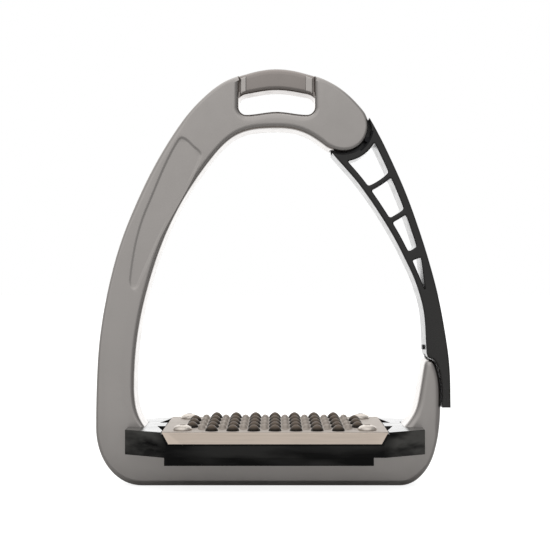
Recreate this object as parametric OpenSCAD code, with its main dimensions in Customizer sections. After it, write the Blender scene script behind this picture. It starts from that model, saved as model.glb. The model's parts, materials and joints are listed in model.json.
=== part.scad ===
// Safety stirrup iron: a one-piece aluminium frame with a release arm hinged beside the eye.
// X runs along the tread, Y from front to back, Z up. The origin is under the middle of the
// tread, on the surface that the base stands on.

/* [Frame] */
// Depth of the frame and of the arm, front to back
frame_d = 20; // [18:0.5:22]
// Height of the top face of the base bar under the tray
bar_top = 18; // [16:0.5:18.5]
// Depth of the step in front of and behind the leather bar
eye_step = 2.2; // [1:0.1:3]
// Depth of the shallow relief on the branch faces
relief_depth = 0.6; // [0.3:0.1:1]

/* [Hinge] */
// Radius of the rounded knuckle at the end of the frame
knuckle_r = 10.8; // [10.4:0.1:11]
// Inner radius of the arm's cradle round the knuckle
cradle_in_r = 12.2; // [12:0.1:12.4]
// Outer radius of the cradle
cradle_out_r = 14.9; // [14.5:0.1:15.5]
// Thickness of the arm's tongue inside the knuckle
tongue_t = 7; // [6:0.1:7.4]
// Radius of the hinge pin
pin_r = 3; // [2.5:0.1:3.2]
// Radial running clearance of the pin in its bush
run_fit = 0.05; // [0.02:0.01:0.1]
// Angle of the detent round the knuckle
detent_angle = -29; // [-35:1:-20]

/* [Tread] */
// Half length of the grip plate
plate_hx = 46; // [44:0.5:47]
// Half depth of the grip plate, front to back
plate_hy = 30; // [28:0.5:32]
// Height of the grip plate's top face
plate_top = 25.1; // [24:0.1:25.5]
// Sheet thickness of the grip plate
plate_t = 1; // [0.8:0.1:1.2]
// Height of the plate's folded lips
lip_h = 4.9; // [4:0.1:6]
// Half length of the tray with its wings
tray_hx = 62; // [60:0.5:63]
// Pitch of the stud columns along the tread
stud_px = 8.65; // [8:0.05:9]
// Pitch of the stud rows across the tread
stud_py = 12.3; // [11:0.1:12.4]
// Height of the rubber studs above the plate
stud_h = 2.5; // [2:0.1:4]
// Height of the steel bumps above the plate
bump_h = 2.1; // [1:0.1:2.5]

/* [Hidden] */
$fn = 64;

hub = [28.6, 151.5];                 // hinge axis in X and Z
gap = 0.15;                          // gap between pieces that are set together
stop_gap = 0.4;                      // gap between the closed arm and the frame's stub
steps = 8;                           // chords in each curved stretch of an outline
slot_w = tongue_t + 1.1;             // width of the knuckle's slot: tongue and two washers
slot_r = 9.8;
washer_t = 0.5;
bush_r = 4;
plug_r = 5;
plug_t = 3.4;
pin_front = -8;                      // blind end of the pin in the front cheek
groove_r = 1.15;                     // detent groove in the knuckle
nose_r = 1.05;                       // nose of the detent leaf
leaf_room = 0.8;                     // depth of the leaf's pocket in the cradle
rivet_r = 0.8;
screw_x = 38;                        // plate screws
screw_y = 22;
base_screw_x = 28;
bed = plate_top - plate_t;           // underside of the plate
pad_t = 1.5;
lip_hx = 43.3;                       // half length of the plate's lips at their lower edge
tray_under = 14.7;                   // lower edge of the tray's wings
skirt_under = 11.2;                  // lower edge of its front and rear skirts
tray_roof = 19.5;                    // ceiling of the tray's ribbed underside
wing_hy = 19.5;                      // half depth of the wings at their ends
front_hx = 45.2;                     // half length of the tray's straight front
end_gap = 0.4;                       // gap between the plate's ends and the tray
lip_gap = 0.7;                       // gap round the plate's lips
strip_t = 1;

// --- outlines: stations [x, z, heading] joined by smooth curves ---------------------------
// One cubic stretch from station a to station b, without its last point
function stretch(a, b) =
  let (chord = norm([b.x - a.x, b.y - a.y]),
       turn = abs((b[2] - a[2] + 540) % 360 - 180),
       reach = chord * (turn < 1 ? 1 / 3 : 2 / 3 * tan(turn / 4) / sin(turn / 2)),
       p = [a.x, a.y] + reach * [cos(a[2]), sin(a[2])],
       q = [b.x, b.y] - reach * [cos(b[2]), sin(b[2])])
  [for (i = [0 : steps - 1]) let (t = i / steps, s = 1 - t)
    s * s * s * [a.x, a.y] + 3 * s * s * t * p + 3 * s * t * t * q + t * t * t * [b.x, b.y]];

// A whole run through its stations, ending on the last one
function run(st) = concat(
  [for (i = [0 : len(st) - 2]) each stretch(st[i], st[i + 1])],
  [[st[len(st) - 1].x, st[len(st) - 1].y]]);

// The same run moved sideways, to the left of its heading
function beside(st, d) = [for (s = st) [s.x - d * sin(s[2]), s.y + d * cos(s[2]), s[2]]];

// Points round the hinge axis
function polar(r, a) = hub + r * [cos(a), sin(a)];
function arc(r, from, to, n = 24) = [for (i = [0 : n]) polar(r, from + (to - from) * i / n)];
function backwards(list) = [for (i = [len(list) - 1 : -1 : 0]) list[i]];

outer_run = [
  [-56, 0, 180], [-75.5, 24.5, 90], [-74.8, 51.5, 87], [-68.2, 92, 75.5], [-56.8, 123, 65.5],
  [-44.2, 146.2, 57.5], [-31.5, 162.3, 44], [-18.9, 171.4, 22], [0.6, 176, 0], [18.9, 172, -21],
  [27.3, 167.6, -35], [hub.x + knuckle_r * cos(40), hub.y + knuckle_r * sin(40), -50]];
inner_run = [
  [hub.x + knuckle_r * cos(-106), hub.y + knuckle_r * sin(-106), 164], [21, 143.2, 142],
  [10.5, 149.3, 162], [1.3, 150.6, 180], [-14.7, 148.4, 203], [-27.3, 137.2, 232],
  [-44.2, 109.8, 245], [-55, 78, 256], [-59.3, 42, 270], [-55.3, 25.5, 306], [-47, bar_top, 360]];
stub_in_run = [
  [47, bar_top, 0], [53.4, 23.6, 46], [58.8, 31, 66], [61.2, 41, 80], [62.8, 50.8, 80],
  [65.2, 53.2, 0]];
stub_out_run = [[65.2, 53.2, 0], [68.5, 49, -72], [69.9, 37, -90], [69.9, 33, -90]];
heel_run = [[69.9, 32.5, -90], [67.3, 14.6, -105], [52.5, 0, -180]];
eye_run = [
  [-12.3, 156.5, 0], [0.7, 157.8, 0], [13.7, 156.5, 0], [16.7, 159.7, 90], [16.7, 162.6, 90],
  [14.6, 164.8, 170], [0.7, 167, 180], [-13.2, 164.8, 190], [-15.3, 162.6, 270],
  [-15.3, 159.7, 270], [-12.3, 156.5, 360]];
relief_run = [
  [-41.6, 145.4, 58], [-38.8, 147.2, -12], [-33, 142.8, -38], [-30.6, 138.6, -110],
  [-38.2, 122.5, -119], [-49.5, 101.5, -114], [-57, 84.5, -112], [-60, 82.6, 150],
  [-61.6, 87.5, 84], [-54.6, 117.2, 66.5], [-41.6, 145.4, 58]];
arm_out_run = [
  [39.7, 155, -59], [46.6, 142.3, -64.5], [53.5, 127.2, -66.7], [59.3, 112, -71],
  [64.2, 96.9, -73.5], [68.3, 81.8, -76.5], [71.3, 66.6, -80.5], [73.4, 51.5, -85],
  [73.9, 33, -90]];
arm_in_run = [
  [24.1, 140, -50.5], [35.7, 126.5, -53], [48.3, 107.6, -59], [56.8, 91.2, -64],
  [61.6, 77.8, -75], [63.4, 62, -88], [63.7, 56.2, -90]];

frame_outline = concat(
  run(outer_run), arc(knuckle_r, 40, -106), run(inner_run), run(stub_in_run),
  run(stub_out_run), run(heel_run));
arm_outline = concat(
  run(arm_out_run), backwards(run(beside(stub_out_run, stop_gap))), [[64.2, 54.2]],
  backwards(run(arm_in_run)), arc(cradle_in_r, -109, -2), [polar(11.5, 15.5)]);

stud_spots = concat(
  [for (i = [-3 : 3], j = [-2 : 2]) [i * stud_px, j * stud_py]],
  [for (i = [-4, 4], j = [-1 : 1]) [i * stud_px, j * stud_py]]);
bump_spots = [for (i = [-4 : 3], j = [-2 : 1]) [(i + 0.5) * stud_px, (j + 0.5) * stud_py]];
corners = [for (i = [-1, 1], j = [-1, 1]) [i * screw_x, j * screw_y]];

// --- shared shapes ---------------------------------------------------------------------------
// A shape drawn in X and Z, given a depth in Y
module slab(depth, y = 0) {
  translate([0, y, 0]) rotate([90, 0, 0]) linear_extrude(depth, center = true) children();
}

// A round piece on the hinge axis, from y0 back to y1
module on_axis(r, y0, y1) {
  translate([hub.x, y1, hub.y]) rotate([90, 0, 0]) cylinder(h = y1 - y0, r = r);
}

// A wedge round the hinge axis, from one angle to another
module wedge(r, from, to) {
  polygon(concat([hub], arc(r, from, to)));
}

module block(low, high) {
  translate(low) cube(high - low);
}

module upright(spots, z0, z1, r1, r2) {
  for (s = spots) translate([s.x, s.y, z0]) cylinder(h = z1 - z0, r1 = r1, r2 = r2);
}

// --- sub-parts -------------------------------------------------------------------------------
module frame() {
  color("#918c89") difference() {
    slab(frame_d) polygon(frame_outline);
    slab(frame_d + 2) polygon(run(eye_run));
    for (side = [-1, 1]) {
      slab(2 * eye_step, side * frame_d / 2) translate([-15, 163]) square([31.4, 20]);
      slab(2 * relief_depth, side * frame_d / 2) polygon(run(relief_run));
    }
    on_axis(slot_r, -slot_w / 2, slot_w / 2);
    slab(slot_w) wedge(16, -122, 64);
    on_axis(pin_r, pin_front, frame_d / 2 - plug_t);
    on_axis(plug_r, frame_d / 2 - plug_t, frame_d / 2 + 1);
    slab(frame_d + 2) translate(polar(knuckle_r + 0.75, detent_angle)) circle(r = groove_r);
    upright([[-base_screw_x, 0], [base_screw_x, 0]], 7, bar_top + 1, 2.5, 2.5);
  }
}

module release_arm() {
  color("#302f2e") difference() {
    union() {
      slab(frame_d) polygon(arm_outline);
      slab(tongue_t) wedge(cradle_in_r + 0.5, -112, 12);
      on_axis(slot_r - 0.6, -tongue_t / 2, tongue_t / 2);
    }
    slab(frame_d + 2) arm_windows();
    on_axis(bush_r, -frame_d, frame_d);
    slab(frame_d + 2) intersection() {
      difference() {
        translate(hub) circle(r = cradle_in_r + leaf_room);
        translate(hub) circle(r = cradle_in_r - 0.5);
      }
      wedge(20, -56, -8);
    }
    slab(frame_d + 2) translate(polar(knuckle_r + 0.8, detent_angle)) circle(r = nose_r + gap);
    rivets(frame_d, rivet_r, 3);
    block([62, -2.6, 57], [66.9, 2.6, 59]);
    block([64, -2.6, 52], [66.9, 2.6, 58]);
  }
}

// The three framed windows and the small triangular one below them
module arm_windows() {
  intersection() {
    polygon(concat(run(beside(arm_out_run, -3.3)), backwards(run(beside(arm_in_run, 2.7)))));
    union() {
      ring_2d(cradle_out_r, 27.4);
      ring_2d(29.6, 43.4);
      ring_2d(45.7, 59.6);
    }
  }
  polygon([[57.9, 94.9], [61.4, 96.2], [63.2, 82.6]]);
}

module ring_2d(r0, r1) {
  difference() {
    translate(hub) circle(r = r1);
    translate(hub) circle(r = r0);
  }
}

module hinge_pin() {
  color("#b9b9b6") on_axis(pin_r - 0.02, pin_front + 0.1, frame_d / 2 - plug_t - 0.1);
}

module hinge_plug() {
  color("#7d7a78") difference() {
    on_axis(plug_r - 0.05, frame_d / 2 - plug_t + 0.05, frame_d / 2 - 0.2);
    translate([hub.x, frame_d / 2, hub.y]) rotate([90, 0, 0]) cylinder(h = 2, r = 2.3, $fn = 6);
  }
}

module hinge_bush() {
  color("#a98a55") difference() {
    on_axis(bush_r, -tongue_t / 2, tongue_t / 2);
    on_axis(pin_r + run_fit, -frame_d, frame_d);
  }
}

module thrust_washer(y) {
  color("#c9c2a8") difference() {
    on_axis(7, y - washer_t / 2, y + washer_t / 2);
    on_axis(pin_r + run_fit, -frame_d, frame_d);
  }
}

module thrust_washer_front() {
  thrust_washer(-slot_w / 2 + washer_t / 2);
}

module thrust_washer_rear() {
  thrust_washer(slot_w / 2 - washer_t / 2);
}

// A curved leaf in the cradle with a round nose that drops into the knuckle's groove
module detent_spring() {
  color("#1c1c1c") difference() {
    slab(frame_d - 1) {
      intersection() {
        ring_2d(cradle_in_r + 0.1, cradle_in_r + leaf_room - 0.05);
        wedge(20, -54, -10);
      }
      translate(polar(knuckle_r + 0.8, detent_angle)) circle(r = nose_r);
    }
    rivets(frame_d, rivet_r, 3);
  }
}

// Two rivets that hold the leaf against the cradle
module rivets(depth, r, length) {
  for (side = [-1, 1])
    translate([hub.x, side * depth / 4, hub.y]) rotate([0, 48, 0])
      translate([cradle_in_r, 0, 0]) rotate([0, 90, 0]) cylinder(h = length, r = r);
}

module detent_rivets() {
  color("#8a8a88") rivets(frame_d, rivet_r - 0.02, cradle_out_r - cradle_in_r - 0.1);
}

// Rubber stop in the foot of the arm, set against the top of the frame's stub
module arm_buffer() {
  color("#141414") {
    block([62.9, -2.5, 57.1], [66.8, 2.5, 58.9]);
    block([64.1, -2.5, 53.6], [66.4, 2.5, 57.1]);
  }
}

// Plan of the tray: straight front and back, wings that narrow towards the branches
module tray_plan() {
  polygon([
    for (s = [[-1, -1], [1, -1], [1, 1], [-1, 1]])
      each let (wing = [tray_hx, wing_hy], front = [front_hx, plate_hy])
        s.x * s.y > 0
          ? [[s.x * wing.x, s.y * wing.y], [s.x * front.x, s.y * front.y]]
          : [[s.x * front.x, s.y * front.y], [s.x * wing.x, s.y * wing.y]]]);
}

module footbed_tray() {
  hole_x = [-base_screw_x, base_screw_x];
  color("#1d1d1e") difference() {
    union() {
      translate([0, 0, tray_under]) linear_extrude(plate_top - 0.2 - tray_under) tray_plan();
      block([-45.1, -28.5, skirt_under], [40.2, 28.5, tray_under + 1]);
    }
    // seat of the grip plate and its lips
    block([-plate_hx - end_gap, -40, bed], [plate_hx + end_gap, 40, 40]);
    for (side = [-1, 1]) slab(2 * (plate_t + gap), side * plate_hy) polygon([
      [-plate_hx - lip_gap, plate_top], [-lip_hx - lip_gap, plate_top - lip_h - lip_gap],
      [lip_hx + lip_gap, plate_top - lip_h - lip_gap], [plate_hx + lip_gap, plate_top]]);
    // bed of the stud pad
    difference() {
      block([-43.2, -28, bed - pad_t], [43.2, 28, 40]);
      upright(corners, bed - pad_t - 1, 41, 4.2, 4.2);
    }
    // channel over the base bar and round the feet of the branches
    block([-50, -frame_d / 2 - gap, 0], [50, frame_d / 2 + gap, bar_top + strip_t]);
    slab(frame_d + 2 * gap) polygon(concat(
      [[-80, 0], [-80, 40], [-59, 40]],
      run([[-58.9, 36, -89], [-55.1, 25.6, -54], [-47, bar_top + gap, 0]]),
      run([[47, bar_top + gap, 0], [53.2, 23.8, 46], [58.6, 31.2, 66], [59.5, 36, 80]]),
      [[62, 40], [80, 40], [80, 0]]));
    // wedge-shaped reliefs at the plate's corners
    for (i = [-1, 1], j = [-1, 1])
      translate([0, 0, bar_top + 3.6]) scale([i, j, 1]) linear_extrude(20)
        polygon([[plate_hx, 24], [plate_hx, 6.4], [49.8, 6.4]]);
    // ribbed hollows under the tread
    for (side = [-1, 1], i = [-2 : 2])
      block([i * 14.6 - 6.4, side * 19.9 - 6.6, 0], [i * 14.6 + 6.4, side * 19.9 + 6.6, tray_roof]);
    // screws
    upright(corners, 0, 50, 3, 3);
    for (x = hole_x) {
      upright([[x, 0]], 10, 30, 2.7, 2.7);
      upright([[x, 0]], bed - pad_t - 2, bed - pad_t, 2.7, 4.8);
    }
  }
}

module damper_strip() {
  color("#2a2a2a") difference() {
    block([-42, -frame_d / 2 + 0.5, bar_top], [42, frame_d / 2 - 0.5, bar_top + strip_t]);
    upright([[-base_screw_x, 0], [base_screw_x, 0]], 0, 40, 2.8, 2.8);
  }
}

// Countersunk screws that hold the tray down on the base bar
module base_screws() {
  top = bed - pad_t - 0.1;
  color("#9c9c9a") for (x = [-base_screw_x, base_screw_x]) difference() {
    union() {
      upright([[x, 0]], 8, top, 2.46, 2.46);
      upright([[x, 0]], top - 2, top, 2.6, 4.6);
    }
    translate([x, 0, top - 1.5]) cylinder(h = 3, r = 1.7, $fn = 6);
  }
}

module stud_pad() {
  color("#26241f") {
    difference() {
      block([-43, -27.8, bed - pad_t], [43, 27.8, bed]);
      upright(corners, 0, 50, 4.4, 4.4);
    }
    upright(stud_spots, bed, plate_top + stud_h, 2.65, 1.5);
  }
}

module grip_plate() {
  color("#c8bdb2") difference() {
    union() {
      block([-plate_hx, -plate_hy, bed], [plate_hx, plate_hy, plate_top]);
      for (side = [-1, 1]) slab(plate_t, side * (plate_hy - plate_t / 2)) polygon([
        [-plate_hx, plate_top], [-lip_hx, plate_top - lip_h], [lip_hx, plate_top - lip_h],
        [plate_hx, plate_top]]);
      upright(bump_spots, plate_top - 0.1, plate_top + bump_h, 2, 1);
    }
    upright(stud_spots, 0, 50, 2.8, 2.8);
    upright(corners, 0, 50, 2.2, 2.2);
  }
}

module plate_screws() {
  color("#c3c0b8") for (c = corners) translate([c.x, c.y, 0]) difference() {
    union() {
      translate([0, 0, plate_top]) rotate_extrude()
        polygon([[0, 0], [3.8, 0], [3.8, 0.6], [3.2, 1.5], [2.2, 2.1], [0, 2.2]]);
      translate([0, 0, 15]) cylinder(h = plate_top - 14.9, r = 1.97);
    }
    translate([0, 0, plate_top + 1]) cylinder(h = 3, r = 1.4, $fn = 6);
  }
}

module plate_inserts() {
  color("#b08d4a") difference() {
    upright(corners, tray_under + 0.2, bed, 3, 3);
    upright(corners, 0, 50, 2, 2);
  }
}

frame();
release_arm();
hinge_pin();
hinge_plug();
hinge_bush();
thrust_washer_front();
thrust_washer_rear();
detent_spring();
detent_rivets();
arm_buffer();
footbed_tray();
damper_strip();
base_screws();
stud_pad();
grip_plate();
plate_screws();
plate_inserts();
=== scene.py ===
"""Looks of the safety stirrup iron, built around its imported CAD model.

Everything is in metres, in the CAD frame: X along the tread, Y front to back, Z up.
Outlines are written in millimetres and scaled by MM as they become meshes.
"""

import json
import math

import bmesh
import bpy
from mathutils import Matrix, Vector


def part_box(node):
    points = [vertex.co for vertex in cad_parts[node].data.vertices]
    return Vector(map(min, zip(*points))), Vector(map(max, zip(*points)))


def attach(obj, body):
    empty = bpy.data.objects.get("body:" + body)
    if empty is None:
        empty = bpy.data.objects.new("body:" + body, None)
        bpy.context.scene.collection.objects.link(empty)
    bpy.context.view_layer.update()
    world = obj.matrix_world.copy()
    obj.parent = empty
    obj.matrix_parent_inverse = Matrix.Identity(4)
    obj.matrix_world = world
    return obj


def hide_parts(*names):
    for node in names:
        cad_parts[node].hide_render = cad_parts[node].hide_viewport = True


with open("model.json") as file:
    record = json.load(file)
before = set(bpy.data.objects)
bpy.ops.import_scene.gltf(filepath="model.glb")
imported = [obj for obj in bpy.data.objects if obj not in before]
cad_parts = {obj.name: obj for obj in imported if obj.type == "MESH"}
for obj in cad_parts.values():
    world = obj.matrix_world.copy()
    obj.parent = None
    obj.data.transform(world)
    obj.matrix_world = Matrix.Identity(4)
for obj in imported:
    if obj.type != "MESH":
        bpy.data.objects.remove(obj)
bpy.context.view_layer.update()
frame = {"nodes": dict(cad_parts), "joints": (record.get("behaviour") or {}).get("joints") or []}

MM = 0.001
IRON, ARM = "stirrup", "arm"                 # the two CAD bodies


# ---------------------------------------------------------------- driving dimensions, in mm
def node_size(name):
    """The low and high corners of a CAD node's box."""
    low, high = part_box(name)
    return low / MM, high / MM


_, frame_high = node_size("frame")
plate_low, plate_high = node_size("grip_plate")
pad_low, pad_high = node_size("stud_pad")
_, tray_high = node_size("footbed_tray")
hinge_at = Vector(frame["joints"][0]["pos_m"]) / MM
HUB = (hinge_at.x, hinge_at.z)
HALF_DEPTH = frame_high.y                    # half the depth of frame and arm
BASE_TOP = 18.0                              # top of the base, under the tread
BAR_HALF = HALF_DEPTH - 2.2                  # half depth of the bar that the leather hangs on
BAR_PAD_HALF = HALF_DEPTH - 1.75             # and of the wear pads at its ends
BAR_SUNK = 0.25                              # how far its ends reach into the crown

KNUCKLE_R = 10.8                             # round end of the frame, at the hinge
KNUCKLE_START, KNUCKLE_END = 40, -106        # the angles that it spans
CRADLE_IN, CRADLE_OUT = 12.2, 14.9           # radii of the arm's cradle round the knuckle
SLOT_HALF = 4.05                             # half width of the knuckle's slot for the tongue
SLOT_REACH, SLOT_ANGLES = 16, (-118.7, 64)
SLOT_HUB_R = 9.8                             # the slot's round room for the tongue's hub
TONGUE_HALF, PIN_HOLE_R = 3.5, 4             # half width of the arm's tongue, and its bore
PLUG_R, PLUG_DEPTH = 5, 3.4                  # recess for the plug, at the back
GROOVE = -29                                 # angle of the hinge's detent
GROOVE_R, NOSE_HOLE_R = 1.15, 1.06
TRACK_DEPTH, TRACK_END = 0.32, 14.5          # room for the leaf's nose as the arm opens
TRACK_HALF = HALF_DEPTH - 0.4
LEAF_ANGLES, LEAF_ROOM = (-54.8, -9.2), 0.8  # pocket in the cradle for the detent's leaf
BUFFER_HALF = 2.6                            # half width of the rubber buffer's pocket
RAIL_OUT, RAIL_IN = 3.3, 2.7                 # width of the arm's rails, outer and inner
WINDOWS = ((CRADLE_OUT, 27.4), (29.6, 43.4), (45.7, 59.6))    # their radii from the hinge
STOP_GAP = 0.4                               # between the arm's foot and the stub

PLATE_HX, PLATE_HY = plate_high.x, plate_high.y
PLATE_TOP = tray_high.z + 0.2                # the plate stands just proud of the tray
PLATE_T = 1.0
PLATE_EDGE = 0.16                            # bevel on its cut edges
BEND_R = 0.7                                 # outer radius of the plate's folds
LIP_BOTTOM = plate_low.z
LIP_HX = 43.3                                # half length of the lips at their lower edge
STUD_H = pad_high.z - PLATE_TOP
STUD_R, STUD_FOOT_R, STUD_HOLE_R = 2.62, 2.72, 2.8
PAD_CORNER, PAD_HOLE_R = 3, 4.4              # its rounded corners, its holes for the screws
STUD_PX, STUD_PY = 8.65, 12.3                # pitch of the studs
STUD_RISE = (0.05, 0.2, 0.36, 0.52, 0.67, 0.8, 0.9, 0.96, 0.99)
BUMP = ((2.1, 0), (1.85, 0.12), (1.65, 0.45), (1.45, 1.0), (1.2, 1.55), (0.8, 1.92),
        (0.35, 2.08))                        # radius and height up a pressed bump
SCREW_X, SCREW_Y = 38, 22
SCREWS = [(i * SCREW_X, j * SCREW_Y) for i in (-1, 1) for j in (-1, 1)]
SCREW_R, SCREW_HOLE_R, SHANK_END = 1.95, 2.2, 15
HEAD_R, HEAD_RIM, HEAD_DOME = 3.8, 0.35, 1.85
SOCKET_R, SOCKET_FLOOR = 1.45, 0.9           # the hexagon socket, above the plate

CURVE_STEPS, CORNER_STEPS = 18, 6            # chords in a curved stretch, a rounded corner
CORNER = 28                                  # a turn of more degrees is a corner
NEAREST = 0.05                               # closer points of an outline are merged
THROUGH = 15                                 # half length of tools that cut right through


# ---------------------------------------------------------------- outlines
def stretch(a, b):
    """One smooth stretch between stations (x, z, heading), without its last point."""
    chord = math.hypot(b[0] - a[0], b[1] - a[1])
    turn = math.radians(abs((b[2] - a[2] + 540) % 360 - 180))
    share = 1 / 3 if turn < 0.02 else 2 / 3 * math.tan(turn / 4) / math.sin(turn / 2)
    reach = chord * share
    p = (a[0] + reach * math.cos(math.radians(a[2])), a[1] + reach * math.sin(math.radians(a[2])))
    q = (b[0] - reach * math.cos(math.radians(b[2])), b[1] - reach * math.sin(math.radians(b[2])))
    points = []
    for i in range(CURVE_STEPS):
        t = i / CURVE_STEPS
        s = 1 - t
        points.append(tuple(
            s**3 * a[k] + 3 * s * s * t * p[k] + 3 * s * t * t * q[k] + t**3 * b[k]
            for k in (0, 1)))
    return points


def run(stations):
    """The whole curve through stations (x, z, heading)."""
    points = []
    for a, b in zip(stations, stations[1:]):
        points += stretch(a, b)
    return points + [tuple(stations[-1][:2])]


def beside(stations, d):
    """The same run moved to the left of its heading."""
    return [(x - d * math.sin(math.radians(h)), z + d * math.cos(math.radians(h)), h)
            for x, z, h in stations]


def polar(r, angle, centre=None):
    """A point at a radius and an angle in degrees, by default about the hinge."""
    cx, cz = centre or HUB
    return cx + r * math.cos(math.radians(angle)), cz + r * math.sin(math.radians(angle))


def arc(r, start, end, n=24, centre=None):
    """An arc of n chords between two angles."""
    return [polar(r, start + (end - start) * i / n, centre) for i in range(n + 1)]


def circle(r, n, centre=None):
    """A closed outline of n points."""
    return arc(r, 0, 360 - 360 / n, n - 1, centre)


def without_repeats(points):
    """A closed outline without repeated points."""
    kept = []
    for p in points:
        if not kept or math.dist(p, kept[-1]) > NEAREST:
            kept.append(p)
    if math.dist(kept[0], kept[-1]) <= NEAREST:
        kept.pop()
    return kept


def area(points):
    return sum(a[0] * b[1] - b[0] * a[1] for a, b in zip(points, points[1:] + points[:1])) / 2


def turned(points, counter_clockwise):
    return points if (area(points) > 0) == counter_clockwise else points[::-1]


def side_normals(points):
    """Unit normals to the left of a closed outline's heading, with the mitre's stretch."""
    n = len(points)
    out = []
    for i in range(n):
        a, b, c = Vector(points[i - 1]), Vector(points[i]), Vector(points[(i + 1) % n])
        u, v = (b - a).normalized(), (c - b).normalized()
        m = Vector((-(u.y + v.y), u.x + v.x))
        m = m.normalized() if m.length > 1e-6 else Vector((-u.y, u.x))
        out.append(m / max(0.5, m.dot(Vector((-u.y, u.x)))))
    return out


def smoothed(values, passes):
    """Values round a closed outline, each averaged with its neighbours."""
    n = len(values)
    for _ in range(passes):
        values = [(values[i - 1] + 2 * values[i] + values[(i + 1) % n]) / 4 for i in range(n)]
    return values


def fine(points, step):
    """A closed outline with its long sides cut into short ones."""
    out = []
    for a, b in zip(points, points[1:] + points[:1]):
        n = max(1, round(math.dist(a, b) / step))
        out += [(a[0] + (b[0] - a[0]) * i / n, a[1] + (b[1] - a[1]) * i / n) for i in range(n)]
    return out


def round_corners(points, reach):
    """Rounds the corners of a fine closed outline, each over a given length of its sides."""
    n = len(points)
    turns = []
    for i in range(n):
        u = Vector(points[i]) - Vector(points[i - 1])
        v = Vector(points[(i + 1) % n]) - Vector(points[i])
        turns.append(math.degrees(u.angle(v)) if u.length > 1e-6 and v.length > 1e-6 else 0)
    corners = [i for i in range(n) if turns[i] > CORNER]
    if not corners:
        return points

    def walk(i, step):
        left, here = reach, Vector(points[i])
        while True:
            i = (i + step) % n
            there = Vector(points[i])
            length = (there - here).length
            if length >= left or i in corners:
                share = min(1.0, left / max(length, 1e-6), 0.45 if i in corners else 1.0)
                return i, here + (there - here) * share
            left -= length
            here = there

    out = []
    for k, c in enumerate(corners):
        _, start = walk(c, -1)
        after, end = walk(c, 1)
        corner = Vector(points[c])
        for j in range(CORNER_STEPS + 1):
            t = j / CORNER_STEPS
            out.append(tuple((1 - t)**2 * start + 2 * t * (1 - t) * corner + t * t * end))
        stop, _ = walk(corners[(k + 1) % len(corners)], -1)
        i = after
        while i != (stop + 1) % n and i not in corners:
            out.append(points[i])
            i = (i + 1) % n
    return out


def height_at(points, x):
    """Height of an outline that runs left to right, at x."""
    for a, b in zip(points, points[1:]):
        if a[0] <= x <= b[0]:
            return a[1] + (b[1] - a[1]) * (x - a[0]) / (b[0] - a[0])
    raise ValueError(f"the outline doesn't reach x = {x}")


def near(value, low, high, fade):
    """1 between low and high, falling to 0 over fade on each side."""
    t = min(value - low, high - value) / fade + 1
    t = max(0.0, min(1.0, t))
    return t * t * (3 - 2 * t)


# ---------------------------------------------------------------- mesh building
def shade(obj, sharp=35, weighted=True):
    """Smooth shading, with an edge kept sharp where its faces meet at more than this angle."""
    for p in obj.data.polygons:
        p.use_smooth = True
    obj.data.set_sharp_from_angle(angle=math.radians(sharp))
    if weighted:
        obj.modifiers.new("normals", "WEIGHTED_NORMAL").keep_sharp = True
    return obj


def new_object(name, bm, sharp=35, weighted=True):
    bmesh.ops.recalc_face_normals(bm, faces=bm.faces)
    mesh = bpy.data.meshes.new(name)
    bm.to_mesh(mesh)
    bm.free()
    obj = bpy.data.objects.new(name, mesh)
    bpy.context.scene.collection.objects.link(obj)
    return shade(obj, sharp, weighted)


def bake(obj):
    """Applies an object's modifiers and puts the result in its mesh."""
    graph = bpy.context.evaluated_depsgraph_get()
    mesh = bpy.data.meshes.new_from_object(obj.evaluated_get(graph))
    obj.modifiers.clear()
    obj.data = mesh
    return obj


def cut(obj, tools):
    """Takes each tool's shape out of obj; the tools are used up."""
    for tool in tools:
        mod = obj.modifiers.new("cut", "BOOLEAN")
        mod.operation = "DIFFERENCE"
        mod.solver = "EXACT"
        mod.object = tool
        bake(obj)
        bpy.data.objects.remove(tool)
    return obj


def cad_copy(node, name, width, first=None):
    """A piece with a CAD node's own shape, its sharp edges rounded over a width in mm. first
    is a test of an edge's middle and a larger width for the edges that pass it, which are
    rounded before the rest."""
    obj = bpy.data.objects.new(name, frame["nodes"][node].data.copy())
    obj.data.materials.clear()
    bpy.context.scene.collection.objects.link(obj)
    bm = bmesh.new()
    bm.from_mesh(obj.data)
    bmesh.ops.remove_doubles(bm, verts=bm.verts, dist=1e-6)
    bmesh.ops.dissolve_limit(bm, angle_limit=math.radians(1), verts=bm.verts, edges=bm.edges,
                             use_dissolve_boundaries=False)
    passes = [(lambda p: True, width, 3)]
    if first:
        passes.insert(0, (*first, 5))
    for wanted, offset, segments in passes:
        edges = [e for e in bm.edges if len(e.link_faces) == 2
                 and e.calc_face_angle(0) > math.radians(30)
                 and wanted((e.verts[0].co + e.verts[1].co) / 2 / MM)]
        bmesh.ops.bevel(bm, geom=edges, offset=offset * MM, offset_type="OFFSET",
                        segments=segments, profile=0.5, affect="EDGES", clamp_overlap=True)
    bm.to_mesh(obj.data)
    bm.free()
    return shade(obj)


def upright(a, b, depth):
    """Places a point of an outline in X and Z, with its depth along Y."""
    return Vector((a, depth, b)) * MM


def flat(a, b, depth):
    """Places a point of an outline in X and Y, with its depth along Z."""
    return Vector((a, b, depth)) * MM


def circle_row(bm, centre, r, z, n=28):
    """A closed row of n vertices round an upright axis."""
    return [bm.verts.new(Vector((centre[0] + r * math.cos(2 * math.pi * k / n),
                                 centre[1] + r * math.sin(2 * math.pi * k / n), z)) * MM)
            for k in range(n)]


def bridge_rows(bm, a, b):
    """Joins two closed rows of vertices with quads."""
    for i in range(len(a)):
        j = (i + 1) % len(a)
        bm.faces.new((a[i], a[j], b[j], b[i]))


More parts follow.
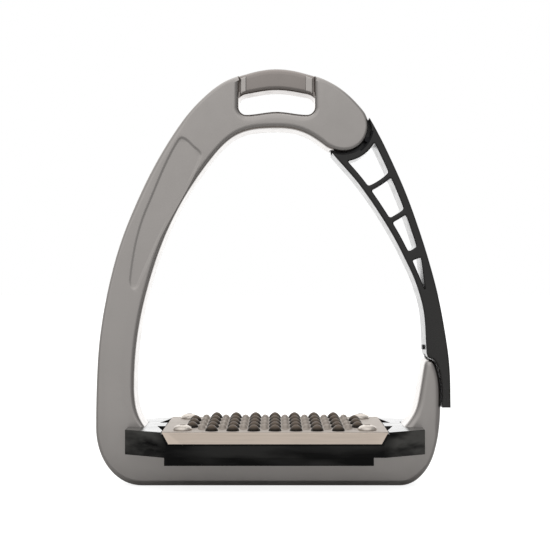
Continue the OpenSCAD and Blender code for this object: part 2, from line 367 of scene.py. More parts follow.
def rings(bm, loop, low, high, radii, place, n):
    """Side wall of one closed outline, from depth low to high, with rims rounded in n steps."""
    inward = side_normals(loop)
    steps = []
    for k in range(n, -1, -1):
        a = k / n * math.pi / 2
        steps.append((0, 1 - math.cos(a), 1 - math.sin(a)))
    steps += [(1, s, d) for _, s, d in reversed(steps)]
    built = []
    for end, shift, sink in steps:
        row = []
        for i, p in enumerate(loop):
            q = Vector(p) + inward[i] * (radii[i] * shift)
            depth = high - radii[i] * sink if end else low + radii[i] * sink
            row.append(bm.verts.new(place(q.x, q.y, depth)))
        built.append(row)
    for a, b in zip(built, built[1:]):
        bridge_rows(bm, a, b)
    return built[0], built[-1]


def ring_edges(bm, row):
    edges = []
    for i, v in enumerate(row):
        w = row[(i + 1) % len(row)]
        edges.append(bm.edges.get((v, w)) or bm.edges.new((v, w)))
    return edges


def fill(bm, rows, axis):
    """Fills the flat region between closed rows of vertices."""
    edges = [e for row in rows for e in ring_edges(bm, row)]
    bmesh.ops.triangle_fill(bm, use_beauty=True, use_dissolve=False, edges=edges, normal=axis)


def pocket(bm, loop, surface, depth, wall, place):
    """Sloping wall of a shallow recess in a flat face; depth has a sign. Returns the rows at
    its rim and round its floor."""
    steps = 5
    loop = turned(loop, True)
    inward = side_normals(loop)
    rows = []
    for k in range(steps + 1):
        t = k / steps
        drop = t * t * (3 - 2 * t)
        row = []
        for i, p in enumerate(loop):
            q = Vector(p) + inward[i] * (wall * t)
            row.append(bm.verts.new(place(q.x, q.y, surface + depth * drop)))
        rows.append(row)
    for a, b in zip(rows, rows[1:]):
        bridge_rows(bm, a, b)
    return rows[0], rows[-1]


def slab(name, outline, holes, low, high, radius, hole_radius=None, place=upright,
         pockets=(), n=6, weighted=True):
    """A closed slab between two depths, with rounded rims. radius is a number or a function of
    a point, holes are outlines, and pockets are recesses in both faces, each given by its
    outline, its depth and the width of its sloping wall."""
    bm = bmesh.new()
    axis = place(0, 0, 1).normalized()
    ends_low, ends_high = [], []
    hole_radius = radius if hole_radius is None else hole_radius
    for k, loop in enumerate([outline] + list(holes)):
        loop = turned(without_repeats(loop), k == 0)
        given = radius if k == 0 else hole_radius
        radii = [given(p) if callable(given) else given for p in loop]
        radii = smoothed(radii, 6) if callable(given) else radii
        a, b = rings(bm, loop, low, high, radii, place, n)
        ends_low.append(a)
        ends_high.append(b)
    floors = []
    for loop, depth, wall in pockets:
        for ends, surface, sign in ((ends_low, low, 1), (ends_high, high, -1)):
            rim, floor = pocket(bm, without_repeats(loop), surface, sign * depth, wall, place)
            ends.append(rim)
            floors.append(floor)
    fill(bm, ends_low, axis)
    fill(bm, ends_high, axis)
    for floor in floors:
        fill(bm, [floor], axis)
    return new_object(name, bm, weighted=weighted)


def lathe(bm, profile, centre, segments):
    """Turns a profile of (radius, height) about an upright axis, in mm, closed at both ends."""
    rows = [circle_row(bm, centre, r, h, segments) for r, h in profile]
    for a, b in zip(rows, rows[1:]):
        bridge_rows(bm, a, b)
    bm.faces.new(rows[0][::-1])
    bm.faces.new(rows[-1])


def box_tool(low, high):
    """A box to cut with, between two corners."""
    bm = bmesh.new()
    bmesh.ops.create_cube(bm, size=1)
    for v in bm.verts:
        v.co = Vector([(a + b) / 2 + c * (b - a) for a, b, c in zip(low, high, v.co)]) * MM
    return new_object("tool", bm, weighted=False)


def prism_tool(outline, low, high, place=upright):
    """A prism to cut with, from one depth to another."""
    bm = bmesh.new()
    loop = turned(without_repeats(outline), True)
    a = [bm.verts.new(place(x, z, low)) for x, z in loop]
    b = [bm.verts.new(place(x, z, high)) for x, z in loop]
    bridge_rows(bm, a, b)
    bm.faces.new(a[::-1])
    bm.faces.new(b)
    return new_object("tool", bm, weighted=False)


# ---------------------------------------------------------------- the runs of the design
OUTER_LEFT = [
    (-56, 0, 180), (-75.5, 24.5, 90), (-74.8, 51.5, 87), (-68.2, 92, 75.5), (-56.8, 123, 65.5),
    (-44.2, 146.2, 57.5), (-31.5, 162.3, 44), (-18.9, 171.4, 22), (0.6, frame_high.z, 0)]
OUTER_RIGHT = [
    (0.6, frame_high.z, 0), (18.9, 172, -21), (27.3, 167.6, -35),
    (*polar(KNUCKLE_R, KNUCKLE_START), -50)]
INNER = [
    (*polar(KNUCKLE_R, KNUCKLE_END), 164), (21, 143.2, 142), (10.5, 149.3, 162),
    (1.3, 150.6, 180),
    (-14.7, 148.4, 203), (-27.3, 137.2, 232), (-44.2, 109.8, 245), (-55, 78, 256),
    (-59.3, 42, 270), (-55.3, 25.5, 306), (-47, BASE_TOP, 360)]
STUB_IN = [
    (47, BASE_TOP, 0), (53.4, 23.6, 46), (58.8, 31, 66), (61.2, 41, 80), (62.8, 50.8, 80),
    (65.2, 53.2, 0)]
STUB_OUT = [(65.2, 53.2, 0), (68.5, 49, -72), (69.9, 37, -90), (69.9, 33, -90)]
HEEL = [(69.9, 32.5, -90), (67.3, 14.6, -105), (52.5, 0, -180)]
ARM_OUT = [
    (39.7, 155, -59), (46.6, 142.3, -64.5), (53.5, 127.2, -66.7), (59.3, 112, -71),
    (64.2, 96.9, -73.5), (68.3, 81.8, -76.5), (71.3, 66.6, -80.5), (73.4, 51.5, -85),
    (73.9, 33, -90)]
ARM_IN = [
    (24.1, 140, -50.5), (35.7, 126.5, -53), (48.3, 107.6, -59), (56.8, 91.2, -64),
    (61.6, 77.8, -75), (63.4, 62, -88), (63.7, 56.2, -90)]
RELIEF = [
    (-41.6, 145.4, 58), (-38.8, 147.2, -12), (-33, 142.8, -38), (-30.6, 138.6, -110),
    (-38.2, 122.5, -119), (-49.5, 101.5, -114), (-57, 84.5, -112), (-60, 82.6, 150),
    (-61.6, 87.5, 84), (-54.6, 117.2, 66.5), (-41.6, 145.4, 58)]
RELIEF_DEPTH, RELIEF_WALL = 0.38, 1.4
EYE_LEFT, EYE_RIGHT = -15.3, 16.7            # ends of the leather slot
EYE_FLOOR = [
    (EYE_LEFT, 159.7, 270), (-12.3, 156.5, 360), (0.7, 157.8, 0), (13.7, 156.5, 0),
    (EYE_RIGHT, 159.7, 90)]
BAR_UNDER = [
    (EYE_RIGHT, 163.2, 120), (13.4, 165.3, 170), (0.7, 167, 180), (-12, 165.3, 190),
    (EYE_LEFT, 163.2, 240)]


# ---------------------------------------------------------------- frame
def frame_outline():
    """The frame's outline, with the leather slot open at the top: its bar is a piece apart."""
    left, right = run(OUTER_LEFT), run(OUTER_RIGHT)
    clear = 0.3                              # from the slot to the crown's next point
    return (
        [p for p in left if p[0] < EYE_LEFT - clear] + [(EYE_LEFT, height_at(left, EYE_LEFT))]
        + run(EYE_FLOOR) + [(EYE_RIGHT, height_at(right, EYE_RIGHT))]
        + [p for p in right if p[0] > EYE_RIGHT + clear]
        + arc(KNUCKLE_R, KNUCKLE_START, KNUCKLE_END)
        + run(INNER) + run(STUB_IN) + run(STUB_OUT) + run(HEEL))


def frame_rim(p):
    """Radius of the frame's rims: softer on the base, the stub and in the leather slot."""
    x, z = p
    rim = 1.6
    rim += 0.9 * near(z, -5, 4, 6) * near(x, -68, 62, 6)
    rim += 0.9 * near(x, EYE_LEFT - 0.1, EYE_RIGHT + 0.1, 0.5) * near(z, 155, 200, 2)
    rim += 0.6 * near(x, -12, 13, 2) * near(z, 155, 158.5, 1)
    rim += 0.3 * near(x, -14, 16, 10) * near(z, 142, 152, 3)
    rim += 1.2 * near(x, 52, 80, 6) * near(z, 26, 60, 6)
    rim += 0.5 * near(x, -60.5, 30, 1.5) * near(z, 30, 152, 4)
    return rim


def detent_tool(r, reach):
    """Cuts a round groove through the whole depth, at the detent's angle and a reach from the
    hinge."""
    return prism_tool(circle(r, 24, polar(reach, GROOVE)), -THROUGH, THROUGH)


def build_frame():
    """The frame's body, the bar for the leather and the wear pads at its ends."""
    body = slab("frame_body", frame_outline(), [], -HALF_DEPTH, HALF_DEPTH, frame_rim,
                pockets=[(run(RELIEF), RELIEF_DEPTH, RELIEF_WALL)], n=7, weighted=False)
    track = (arc(KNUCKLE_R - TRACK_DEPTH, GROOVE, TRACK_END)
             + arc(CRADLE_IN + 0.3, TRACK_END, GROOVE))
    cut(body, [
        prism_tool([HUB] + arc(SLOT_REACH, *SLOT_ANGLES), -SLOT_HALF, SLOT_HALF),
        prism_tool(circle(SLOT_HUB_R, 60), -SLOT_HALF, SLOT_HALF),
        prism_tool(circle(PLUG_R, 60), HALF_DEPTH - PLUG_DEPTH, HALF_DEPTH + 2),
        detent_tool(GROOVE_R, KNUCKLE_R + 0.75),
        prism_tool(track, -TRACK_HALF, TRACK_HALF),
    ])
    shade(body)

    left, right = run(OUTER_LEFT), run(OUTER_RIGHT)
    crest, under = left[:-1] + right, run(BAR_UNDER)
    start, end = EYE_LEFT - BAR_SUNK, EYE_RIGHT + BAR_SUNK
    bar_outline = (
        [(start, height_at(left, start) - 0.1)]
        + [p for p in crest if start + 0.2 < p[0] < end - 0.2]
        + [(end, height_at(right, end) - 0.1), (end, BAR_UNDER[0][1])]
        + under + [(start, BAR_UNDER[-1][1])])

    def bar_rim(p):
        if abs(p[0] - (start + end) / 2) > (end - start) / 2 - 0.4:
            return 0.12
        return 2.4 if p[1] > 168.5 else 1.8

    bar = slab("leather_bar", bar_outline, [], -BAR_HALF, BAR_HALF, bar_rim)
    pads = []
    for side, x0, x1 in (("left", EYE_LEFT + 0.7, EYE_LEFT + 3.2),
                         ("right", EYE_RIGHT - 3.9, EYE_RIGHT - 0.8)):
        xs = [x0 + (x1 - x0) * i / 6 for i in range(7)]
        pad = ([(x, height_at(crest, x) - 1.3) for x in xs]
               + [(x, height_at(under[::-1], x) + 0.9) for x in xs[::-1]])
        pads.append(slab(f"leather_bar_pad_{side}", fine(pad, 0.5), [],
                         -BAR_PAD_HALF, BAR_PAD_HALF, 0.5))
    return [body, bar] + pads


# ---------------------------------------------------------------- release arm
def windows():
    """The three framed windows, between the rails and curved rungs, and the small lower one."""
    outer = run(beside(ARM_OUT, -RAIL_OUT))
    inner = run(beside(ARM_IN, RAIL_IN))

    def reach(p):
        return math.dist(p, HUB)

    def between(rail, r0, r1):
        kept = []
        for a, b in zip(rail, rail[1:]):
            for r in (r0, r1):
                if (reach(a) - r) * (reach(b) - r) < 0:
                    t = (r - reach(a)) / (reach(b) - reach(a))
                    kept.append((a[0] + (b[0] - a[0]) * t, a[1] + (b[1] - a[1]) * t))
            if r0 < reach(b) < r1:
                kept.append(b)
        return kept

    def bearing(p):
        return math.degrees(math.atan2(p[1] - HUB[1], p[0] - HUB[0]))

    found = []
    for r0, r1 in WINDOWS:
        a, b = between(outer, r0, r1), between(inner, r0, r1)
        low = arc(r1, bearing(a[-1]), bearing(b[-1]), 14)[1:-1]
        high = arc(r0, bearing(b[0]), bearing(a[0]), 14)[1:-1]
        found.append(round_corners(a + low + b[::-1] + high, 1.1))
    tip = [(57.9, 94.9), (61.4, 96.2), (63.2, 82.6)]
    found.append(round_corners(fine(tip, 0.5), 0.7))
    return found


def arm_rim(p):
    """Radius of the arm's rims: almost sharp at the cradle and the foot."""
    return 0.15 + 0.75 * near(math.dist(p, HUB), 15, 200, 3) * near(p[1], 36, 200, 3)


def leaf_tool(r):
    """Cuts the pocket for the detent's leaf, from the radius r outwards."""
    start, end = LEAF_ANGLES
    return prism_tool(arc(CRADLE_IN + LEAF_ROOM, start, end) + arc(r, end, start),
                      -THROUGH, THROUGH)


def build_arm():
    """The arm's body, and its tongue in the frame's knuckle."""
    outline = (
        run(ARM_OUT) + run(beside(STUB_OUT, STOP_GAP))[::-1] + [(64.2, 54.2)]
        + run(ARM_IN)[::-1] + arc(CRADLE_IN, -109, -2, 40) + [polar(11.5, 15.5)])
    body = slab("release_arm_body", outline, windows(), -HALF_DEPTH, HALF_DEPTH, arm_rim,
                hole_radius=0.7, weighted=False)
    cut(body, [
        leaf_tool(CRADLE_IN - 0.5),
        detent_tool(NOSE_HOLE_R, KNUCKLE_R + 0.8),
        box_tool((62, -BUFFER_HALF, 57), (66.9, BUFFER_HALF, 59)),
        box_tool((64, -BUFFER_HALF, 52), (66.9, BUFFER_HALF, 58)),
    ])
    shade(body)
    tongue_outline = (
        [polar(9.7, -118), polar(10.9, -117.9), polar(12.3, -113.5)] + arc(12.6, -111, 4)
        + [polar(12.1, 10), polar(11.5, 16)] + arc(9.2, 26, 236))
    tongue = slab("arm_tongue", tongue_outline, [circle(PIN_HOLE_R, 36)],
                  -TONGUE_HALF, TONGUE_HALF, 0.3, weighted=False)
    cut(tongue, [leaf_tool(CRADLE_IN + 0.05), detent_tool(NOSE_HOLE_R, KNUCKLE_R + 0.8)])
    return [body, shade(tongue)]


# ---------------------------------------------------------------- tread
def lip_half_length(z):
    """Half the plate's length at a height: its lips narrow downwards."""
    return PLATE_HX - (PLATE_HX - LIP_HX) * (PLATE_TOP - z) / (PLATE_TOP - LIP_BOTTOM)


def stud_spots():
    spots = [(i * STUD_PX, j * STUD_PY) for i in range(-3, 4) for j in range(-2, 3)]
    return spots + [(i * STUD_PX, j * STUD_PY) for i in (-4, 4) for j in range(-1, 2)]


def bump_spots():
    return [((i + 0.5) * STUD_PX, (j + 0.5) * STUD_PY)
            for i in range(-4, 4) for j in range(-2, 2)]


def build_plate():
    """Pressed steel sheet: one skin with holes, bumps and folded lips, then thickened."""
    bm = bmesh.new()
    across, turns = 30, 7                    # steps along the lips and round their bends
    z = PLATE_TOP
    rows = {}
    for side in (-1, 1):
        for k in range(turns + 2):
            if k <= turns:
                a = k / turns * math.pi / 2
                y, h = PLATE_HY - BEND_R + BEND_R * math.sin(a), z - BEND_R * (1 - math.cos(a))
            else:
                y, h = PLATE_HY, LIP_BOTTOM
            hx = lip_half_length(h)
            rows[side, k] = [bm.verts.new(Vector((hx * (2 * i / across - 1), side * y, h)) * MM)
                             for i in range(across + 1)]
        for k in range(turns + 1):
            a, b = rows[side, k], rows[side, k + 1]
            for i in range(across):
                bm.faces.new((a[i], a[i + 1], b[i + 1], b[i]))
    loops = [rows[-1, 0] + rows[1, 0][::-1]]
    loops += [circle_row(bm, spot, STUD_HOLE_R, z) for spot in stud_spots()]
    loops += [circle_row(bm, spot, SCREW_HOLE_R, z) for spot in SCREWS]
    for spot in bump_spots():
        first = last = circle_row(bm, spot, BUMP[0][0], z)
        for r, h in BUMP[1:]:
            row = circle_row(bm, spot, r, z + h)
            bridge_rows(bm, last, row)
            last = row
        bm.faces.new(last)
        loops.append(first)
    fill(bm, loops, Vector((0, 0, 1)))
    plate = new_object("grip_plate_sheet", bm, weighted=False)
    if sum(p.normal.z * p.area for p in plate.data.polygons) < 0:
        plate.data.flip_normals()
    solid = plate.modifiers.new("sheet", "SOLIDIFY")
    solid.thickness = PLATE_T * MM
    solid.offset = -1
    soft = plate.modifiers.new("edges", "BEVEL")
    soft.width = PLATE_EDGE * MM
    soft.segments = 2
    soft.limit_method = "ANGLE"
    soft.angle_limit = math.radians(50)
    return shade(bake(plate))


def build_pad():
    """Rubber pad under the plate, with its studs standing through the plate's holes."""
    bm = bmesh.new()
    z, foot = PLATE_TOP, PLATE_TOP - PLATE_T
    profile = [(STUD_FOOT_R, foot - 0.6), (STUD_FOOT_R, z - 0.15)]
    profile += [(STUD_R * (1 - t**1.7)**0.6, z + t * STUD_H) for t in STUD_RISE]
    profile += [(0.12, z + STUD_H)]
    for spot in stud_spots():
        lathe(bm, profile, spot, 28)
    studs = new_object("rubber_studs", bm, 50)
    low, high = pad_low, pad_high
    corners = [(low.x, low.y), (high.x, low.y), (high.x, high.y), (low.x, high.y)]
    sheet = slab("stud_pad_sheet", round_corners(fine(corners, 1), PAD_CORNER),
                 [circle(PAD_HOLE_R, 36, spot) for spot in SCREWS],
                 low.z, foot - 0.02, 0.2, place=flat)
    return [studs, sheet]


def on_wing_top(p):
    """Whether an edge of the tray bounds the top of its wings, beside the plate."""
    return p.z > tray_high.z - 0.1 and abs(p.x) > 50 and abs(p.y) > HALF_DEPTH + 0.5


def build_screws():
    """Button-head screws with a hexagon socket."""
    bm = bmesh.new()
    z = PLATE_TOP
    profile = [(SCREW_R, SHANK_END), (SCREW_R, z), (HEAD_R - 0.2, z), (HEAD_R, z + 0.15),
               (HEAD_R, z + HEAD_RIM)]
    for k in range(9):
        a = math.radians(5 + 85 * k / 9)
        profile.append((HEAD_R * math.cos(a), z + (HEAD_RIM + HEAD_DOME * math.sin(a))))
    profile.append((0.25, z + (HEAD_RIM + HEAD_DOME)))
    for spot in SCREWS:
        lathe(bm, profile, spot, 40)
    heads = new_object("tread_screws", bm, 40, weighted=False)
    sockets = [prism_tool(circle(SOCKET_R, 6, spot), z + SOCKET_FLOOR, z + 4, flat)
               for spot in SCREWS]
    return shade(cut(heads, sockets))


# ---------------------------------------------------------------- materials
def ramp(tree, value, start, end, low=0.0, high=1.0, shape="SMOOTHSTEP"):
    """Node output that is low where value is at start, and high where it is at end."""
    made = tree.nodes.new("ShaderNodeMapRange")
    made.interpolation_type = shape
    tree.links.new(value, made.inputs["Value"])
    for key, number in (("From Min", start), ("From Max", end), ("To Min", low),
                        ("To Max", high)):
        made.inputs[key].default_value = number
    return made.outputs[0]


class Finish:
    """One procedural material, on coordinates in metres that stay with the piece."""

    def __init__(self, name, **sockets):
        self.mat = bpy.data.materials.new(name)
        self.mat.use_nodes = True
        self.tree = self.mat.node_tree
        self.shader = self.tree.nodes["Principled BSDF"]
        for key, value in sockets.items():
            self.shader.inputs[key.replace("_", " ")].default_value = value
        self.place = self.tree.nodes.new("ShaderNodeTexCoord").outputs["Object"]
        self.height = None

    def node(self, kind, links=(), **values):
        made = self.tree.nodes.new("ShaderNode" + kind)
        for key, value in values.items():
            if hasattr(made, key):
                setattr(made, key, value)
            else:
                made.inputs[key].default_value = value
        for key, out in dict(links).items():
            self.tree.links.new(out, made.inputs[key])
        return made

    def noise(self, size, detail, grain=(1, 1, 1), contrast=(0.3, 0.7)):
        """Noise from 0 to 1 with features of about size metres, stretched by grain."""
        at = self.node("Mapping", {"Vector": self.place}, Scale=[1 / (size * g) for g in grain])
        raw = self.node("TexNoise", {"Vector": at.outputs[0]}, Scale=1.0, Detail=detail)
        return ramp(self.tree, raw.outputs[0], *contrast, shape="LINEAR")

    def edges(self):
        """1 on outside edges, 0 elsewhere."""
        sharpness = self.node("NewGeometry").outputs["Pointiness"]
        return ramp(self.tree, sharpness, 0.515, 0.56, shape="LINEAR")

    def rise(self, low, high):
        """0 below the height low, in mm, and 1 above the height high."""
        height = self.node("SeparateXYZ", {"Vector": self.place}).outputs["Z"]
        return ramp(self.tree, height, low * MM, high * MM)

    def colour(self, pattern, a, b):
        """Colour from a, where the pattern is 0, to b; a may be an earlier colour's output."""
        mix = self.node("Mix", data_type="RGBA")
        self.tree.links.new(pattern, mix.inputs[0])
        for index, value in ((6, a), (7, b)):
            if isinstance(value, bpy.types.NodeSocket):
                self.tree.links.new(value, mix.inputs[index])
            else:
                mix.inputs[index].default_value = (*value, 1)
        self.tree.links.new(mix.outputs[2], self.shader.inputs["Base Color"])
        return mix.outputs[2]

    def rough(self, pattern, low, high):
        """Roughness from low, where the pattern is 0, to high."""
        spread = ramp(self.tree, pattern, 0, 1, low, high, "LINEAR")
        self.tree.links.new(spread, self.shader.inputs["Roughness"])

    def bump(self, pattern, depth, strength=1.0):
        """Relief depth metres deep, on top of any earlier relief."""
        links = {"Height": pattern}
        if self.height:
            links["Normal"] = self.height
        made = self.node("Bump", links, Distance=depth, Strength=strength)
        self.height = made.outputs[0]
        self.tree.links.new(self.height, self.shader.inputs["Normal"])


def shades(base, spread):
    """A darker and a lighter shade of a colour."""
    return [tuple(c * k for c in base) for k in (1 - spread, 1 + spread)]


def satin_aluminium(name, base):
    """Bead-blasted and anodised aluminium in a warm titanium grey."""
    f = Finish(name, Metallic=1.0)
    tone = f.colour(f.noise(0.035, 2), *shades(base, 0.035))
    f.colour(f.edges(), tone, tuple(1.1 * c for c in base))
    f.rough(f.noise(0.004, 4), 0.28, 0.34)
    f.bump(f.noise(0.0005, 2), 0.000004)
    return f.mat


def moulded(name, base, roughness, grain, depth):
    """Moulded polymer with a fine spark-eroded grain, given by its size and depth."""
    f = Finish(name, Specular_IOR_Level=0.35)
    f.colour(f.noise(0.02, 3), *shades(base, 0.12))
    f.rough(f.noise(0.003, 3), *roughness)
    f.bump(f.noise(grain, 2), depth)
    return f.mat


def tray_polymer():
    """Glossy moulded polymer with faint flow waves and an uneven gloss, and lighter streaks on
    its wings that are painted reflections.
    """
    f = Finish("tray_polymer", Specular_IOR_Level=0.1)
    along = f.node("SeparateXYZ", {"Vector": f.place}).outputs["X"]
    reach = f.node("Math", {0: along}, operation="ABSOLUTE")
    wings = ramp(f.tree, reach.outputs[0], 0.044, 0.05, shape="LINEAR")
    tone = f.colour(f.noise(0.013, 3, (3, 2, 0.7), (0.44, 0.62)),
                    (0.0015, 0.0015, 0.0014), (0.015, 0.0147, 0.014))
    # Lighter streaks on the wings only: painted reflection on the glossy black.
    painted_reflection_streaks = f.node("Math", {0: f.noise(0.009, 4, (2.2, 2, 0.7), (0.38, 0.6)),
                              1: wings}, operation="MULTIPLY")
    f.colour(painted_reflection_streaks.outputs[0], tone, (0.047, 0.046, 0.043))
    f.rough(f.noise(0.005, 4, (3, 1, 1)), 0.1, 0.18)
    f.bump(f.noise(0.016, 2, (2.5, 1, 1)), 0.0001, 0.5)
    return f.mat


def brushed(name, base, roughness, grain=(30, 1, 1), metal=1.0, tread=None):
    """Sheet or bar metal with a fine grain, stretched along an axis and paler at its edges.
    tread is the colour of the plate's top, darker than its lips: painted shade of its studs and
    bumps."""
    f = Finish(name, Metallic=metal)
    tone = f.colour(f.noise(0.0006, 4, grain), *shades(base, 0.05))
    tone = f.colour(f.edges(), tone, tuple(min(1, c * 1.15) for c in base))
    if tread:
        # Painted shade: the plate's top gets a darker colour than its lips, standing in for the
        # shade among its studs and bumps.
        painted_shade_top = f.colour(f.noise(0.0006, 4, grain), *shades(tread, 0.05))
        f.colour(f.rise(PLATE_TOP - 0.5, PLATE_TOP - 0.1), tone, painted_shade_top)
    f.rough(f.noise(0.0009, 4, grain), *roughness)
    f.bump(f.noise(0.0003, 3, grain), 0.000006)
    return f.mat


def rubber(name, base, roughness=(0.55, 0.72), painted_light_tips=None):
    """Moulded rubber, dusty and a little uneven. tips, if given, is the colour at the top of the
    studs: they are painted from dark at the plate up to it, painted shade at their feet and
    painted light at their tops."""
    f = Finish(name, Specular_IOR_Level=0.12 if painted_light_tips else 0.35)
    tone = f.colour(f.noise(0.006, 4), *shades(base, 0.22))
    if painted_light_tips:
        # Painted shade and light: the studs darken towards the plate and lighten towards their
        # tops.
        f.colour(f.rise(PLATE_TOP + 0.2, PLATE_TOP + STUD_H), tone, painted_light_tips)
    f.rough(f.noise(0.002, 3), *roughness)
    f.bump(f.noise(0.0005, 3), 0.00002)
    return f.mat


MATERIALS = {
    "satin_aluminium": satin_aluminium("satin_aluminium", (0.36, 0.34, 0.325)),
    "arm_polymer": moulded("arm_polymer", (0.015, 0.0142, 0.0134), (0.22, 0.3), 0.0004,
                           0.000003),
    "tray_polymer": tray_polymer(),
    "plate_steel": brushed("plate_steel", (0.57, 0.49, 0.42), (0.5, 0.62), metal=0.7,
                           tread=(0.39, 0.345, 0.305)),
    "screw_steel": brushed("screw_steel", (0.6, 0.55, 0.5), (0.34, 0.44), (1, 1, 8)),
    "stud_rubber": rubber("stud_rubber", (0.01, 0.008, 0.006), (0.36, 0.5),
                          painted_light_tips=(0.15, 0.115, 0.088)),
    "strip_rubber": rubber("strip_rubber", (0.03, 0.03, 0.03)),
    "buffer_rubber": rubber("buffer_rubber", (0.02, 0.02, 0.02)),
    "ground_steel": brushed("ground_steel", (0.6, 0.6, 0.59), (0.2, 0.3), (1, 1, 1)),
    "plug_steel": brushed("plug_steel", (0.38, 0.36, 0.34), (0.3, 0.4), (1, 1, 1)),
    "spring_steel": brushed("spring_steel", (0.015, 0.015, 0.016), (0.35, 0.45), (1, 12, 1)),
    "rivet_steel": brushed("rivet_steel", (0.5, 0.5, 0.49), (0.3, 0.4), (1, 1, 1)),
    "bush_bronze": brushed("bush_bronze", (0.55, 0.38, 0.17), (0.3, 0.4), (1, 10, 1)),
    "insert_brass": brushed("insert_brass", (0.62, 0.45, 0.18), (0.3, 0.4), (1, 1, 10)),
    "washer_polymer": moulded("washer_polymer", (0.55, 0.5, 0.36), (0.4, 0.5), 0.0006, 0.00001),
}


# ---------------------------------------------------------------- assembly
def assemble(pieces, body, slot_name, *nodes):
    """Gives pieces their body and finish; the first one stands for the CAD nodes named."""
    for k, piece in enumerate(pieces):
        piece.data.materials.clear()
        piece.data.materials.append(MATERIALS[slot_name])
        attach(piece, body)
        if k == 0 and nodes:
            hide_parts(*nodes)


frame_pieces = build_frame()
assemble(frame_pieces, IRON, "satin_aluminium", "frame")
# A darker copy of the finish for the leather bar: painted shade of its recess between the frame's
# cheeks.
painted_shade_finish = satin_aluminium("satin_aluminium_painted_shade", (0.27, 0.245, 0.23))
# A lighter copy of the finish for the pads at the bar's ends: painted highlight.
bright = satin_aluminium("satin_aluminium_painted_highlight", (0.42, 0.395, 0.375))
for piece, finish in zip(frame_pieces[1:], (painted_shade_finish, bright, bright)):
    piece.data.materials[0] = finish
assemble(build_arm(), ARM, "arm_polymer", "release_arm")
assemble([cad_copy("footbed_tray", "footbed_tray_body", 0.4, first=(on_wing_top, 1.2))], IRON,
         "tray_polymer", "footbed_tray")
assemble([build_plate()], IRON, "plate_steel", "grip_plate")
assemble(build_pad(), IRON, "stud_rubber", "stud_pad")
assemble([build_screws()], IRON, "screw_steel", "plate_screws")
assemble([cad_copy("hinge_plug", "hinge_screw_plug", 0.35)], IRON, "plug_steel", "hinge_plug")

CARRIED_OVER = {
    "hinge_pin": "ground_steel", "hinge_bush": "bush_bronze", "damper_strip": "strip_rubber",
    "thrust_washer_front": "washer_polymer", "thrust_washer_rear": "washer_polymer",
    "detent_spring": "spring_steel", "detent_rivets": "rivet_steel",
    "arm_buffer": "buffer_rubber", "base_screws": "screw_steel",
    "plate_inserts": "insert_brass",
}
for node_name, slot_name in CARRIED_OVER.items():
    node = frame["nodes"][node_name]
    for k in range(len(node.material_slots)):
        node.material_slots[k].material = MATERIALS[slot_name]
    if not node.material_slots:
        node.data.materials.append(MATERIALS[slot_name])


# ---------------------------------------------------------------- studio
FLOOR_Z = -0.00015
FLOOR_HX, FLOOR_FRONT, FLOOR_BACK = 4, -0.145, 5.0      # the front edge is just out of view
FLOOR_GLOW = 0.85
CAMERA_AT, LENS = (0, -0.567, 0.0888), 86.73


def stage_floor(name, front, back, in_reflections):
    """Part of a pale table top, just under the stirrup, between two depths in Y. It glows, but
    not in reflections, where the front part shows dull and the back part not at all."""
    bm = bmesh.new()
    corners = [(-FLOOR_HX, front), (FLOOR_HX, front), (FLOOR_HX, back), (-FLOOR_HX, back)]
    bm.faces.new([bm.verts.new((x, y, FLOOR_Z)) for x, y in corners])
    floor = new_object(name, bm, weighted=False)
    f = Finish(name, Specular_IOR_Level=0.0, Roughness=0.9)
    f.colour(f.noise(0.4, 2), (0.42, 0.42, 0.418), (0.44, 0.44, 0.438))
    f.shader.inputs["Emission Color"].default_value = (1, 1, 1, 1)
    reflected = f.node("LightPath").outputs["Is Glossy Ray"]
    glow = ramp(f.tree, reflected, 0, 1, FLOOR_GLOW, 0, "LINEAR")
    f.tree.links.new(glow, f.shader.inputs["Emission Strength"])
    floor.data.materials.append(f.mat)
    floor.visible_glossy = in_reflections


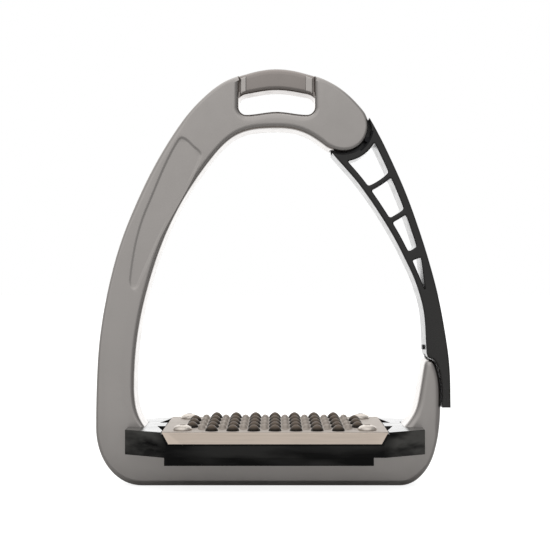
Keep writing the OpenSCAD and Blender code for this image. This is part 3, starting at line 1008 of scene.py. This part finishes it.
def area_light(name, place, target, size, power):
    """A rectangular light that faces a target."""
    data = bpy.data.lights.new(name, "AREA")
    data.shape = "RECTANGLE"
    data.size, data.size_y = size
    data.energy = power
    light = bpy.data.objects.new(name, data)
    bpy.context.scene.collection.objects.link(light)
    light.location = place
    light.rotation_euler = (Vector(target) - Vector(place)).to_track_quat("-Z", "Y").to_euler()


def studio_world():
    """Plain white to the camera. As light: a bright backdrop, and a soft fall-off to the right
    and below."""
    world = bpy.data.worlds.new("studio")
    bpy.context.scene.world = world
    world.use_nodes = True
    tree = world.node_tree
    link = tree.links.new
    tree.nodes.clear()

    def add(kind, **values):
        made = tree.nodes.new("ShaderNode" + kind)
        for key, value in values.items():
            setattr(made, key, value)
        return made

    def combine(operation, a, b):
        made = add("Math", operation=operation)
        link(a, made.inputs[0])
        link(b, made.inputs[1])
        return made.outputs[0]

    way = add("SeparateXYZ")
    link(add("TexCoord").outputs["Generated"], way.inputs[0])
    x, y, z = way.outputs
    behind = combine("MULTIPLY", ramp(tree, y, 0.25, 0.92, 0.0, 1.15),
                     ramp(tree, z, 0.05, 0.45, 1.0, 0.3))
    sides = combine("MULTIPLY", ramp(tree, x, 0.9, 0.15, 0.43, 1.17),
                    ramp(tree, x, -1.0, -0.5, 0.6, 1.0))
    across = combine("MULTIPLY", sides, ramp(tree, z, -0.55, 0.4, 0.35, 0.98))
    total = combine("ADD", behind, across)
    light, white = add("Background"), add("Background")
    for shown in (light, white):
        shown.inputs["Color"].default_value = (1, 1, 1, 1)
    link(total, light.inputs["Strength"])
    mix = add("MixShader")
    link(add("LightPath").outputs["Is Camera Ray"], mix.inputs[0])
    link(light.outputs[0], mix.inputs[1])
    link(white.outputs[0], mix.inputs[2])
    link(mix.outputs[0], add("OutputWorld").inputs[0])


stage_floor("studio_floor_front", FLOOR_FRONT, 0.0, True)
stage_floor("studio_floor_back", 0.0, FLOOR_BACK, False)
studio_world()
area_light("overhead", (0, 0.15, 0.95), (0, 0, 0.05), (1.2, 0.9), 1.0)
bpy.context.scene.view_settings.view_transform = "Standard"

eye = bpy.data.cameras.new("camera")
eye.sensor_width = 36
eye.lens = LENS
camera = bpy.data.objects.new("camera", eye)
camera.location = CAMERA_AT
camera.rotation_euler = (math.pi / 2, 0, 0)
bpy.context.scene.collection.objects.link(camera)
bpy.context.scene.camera = camera
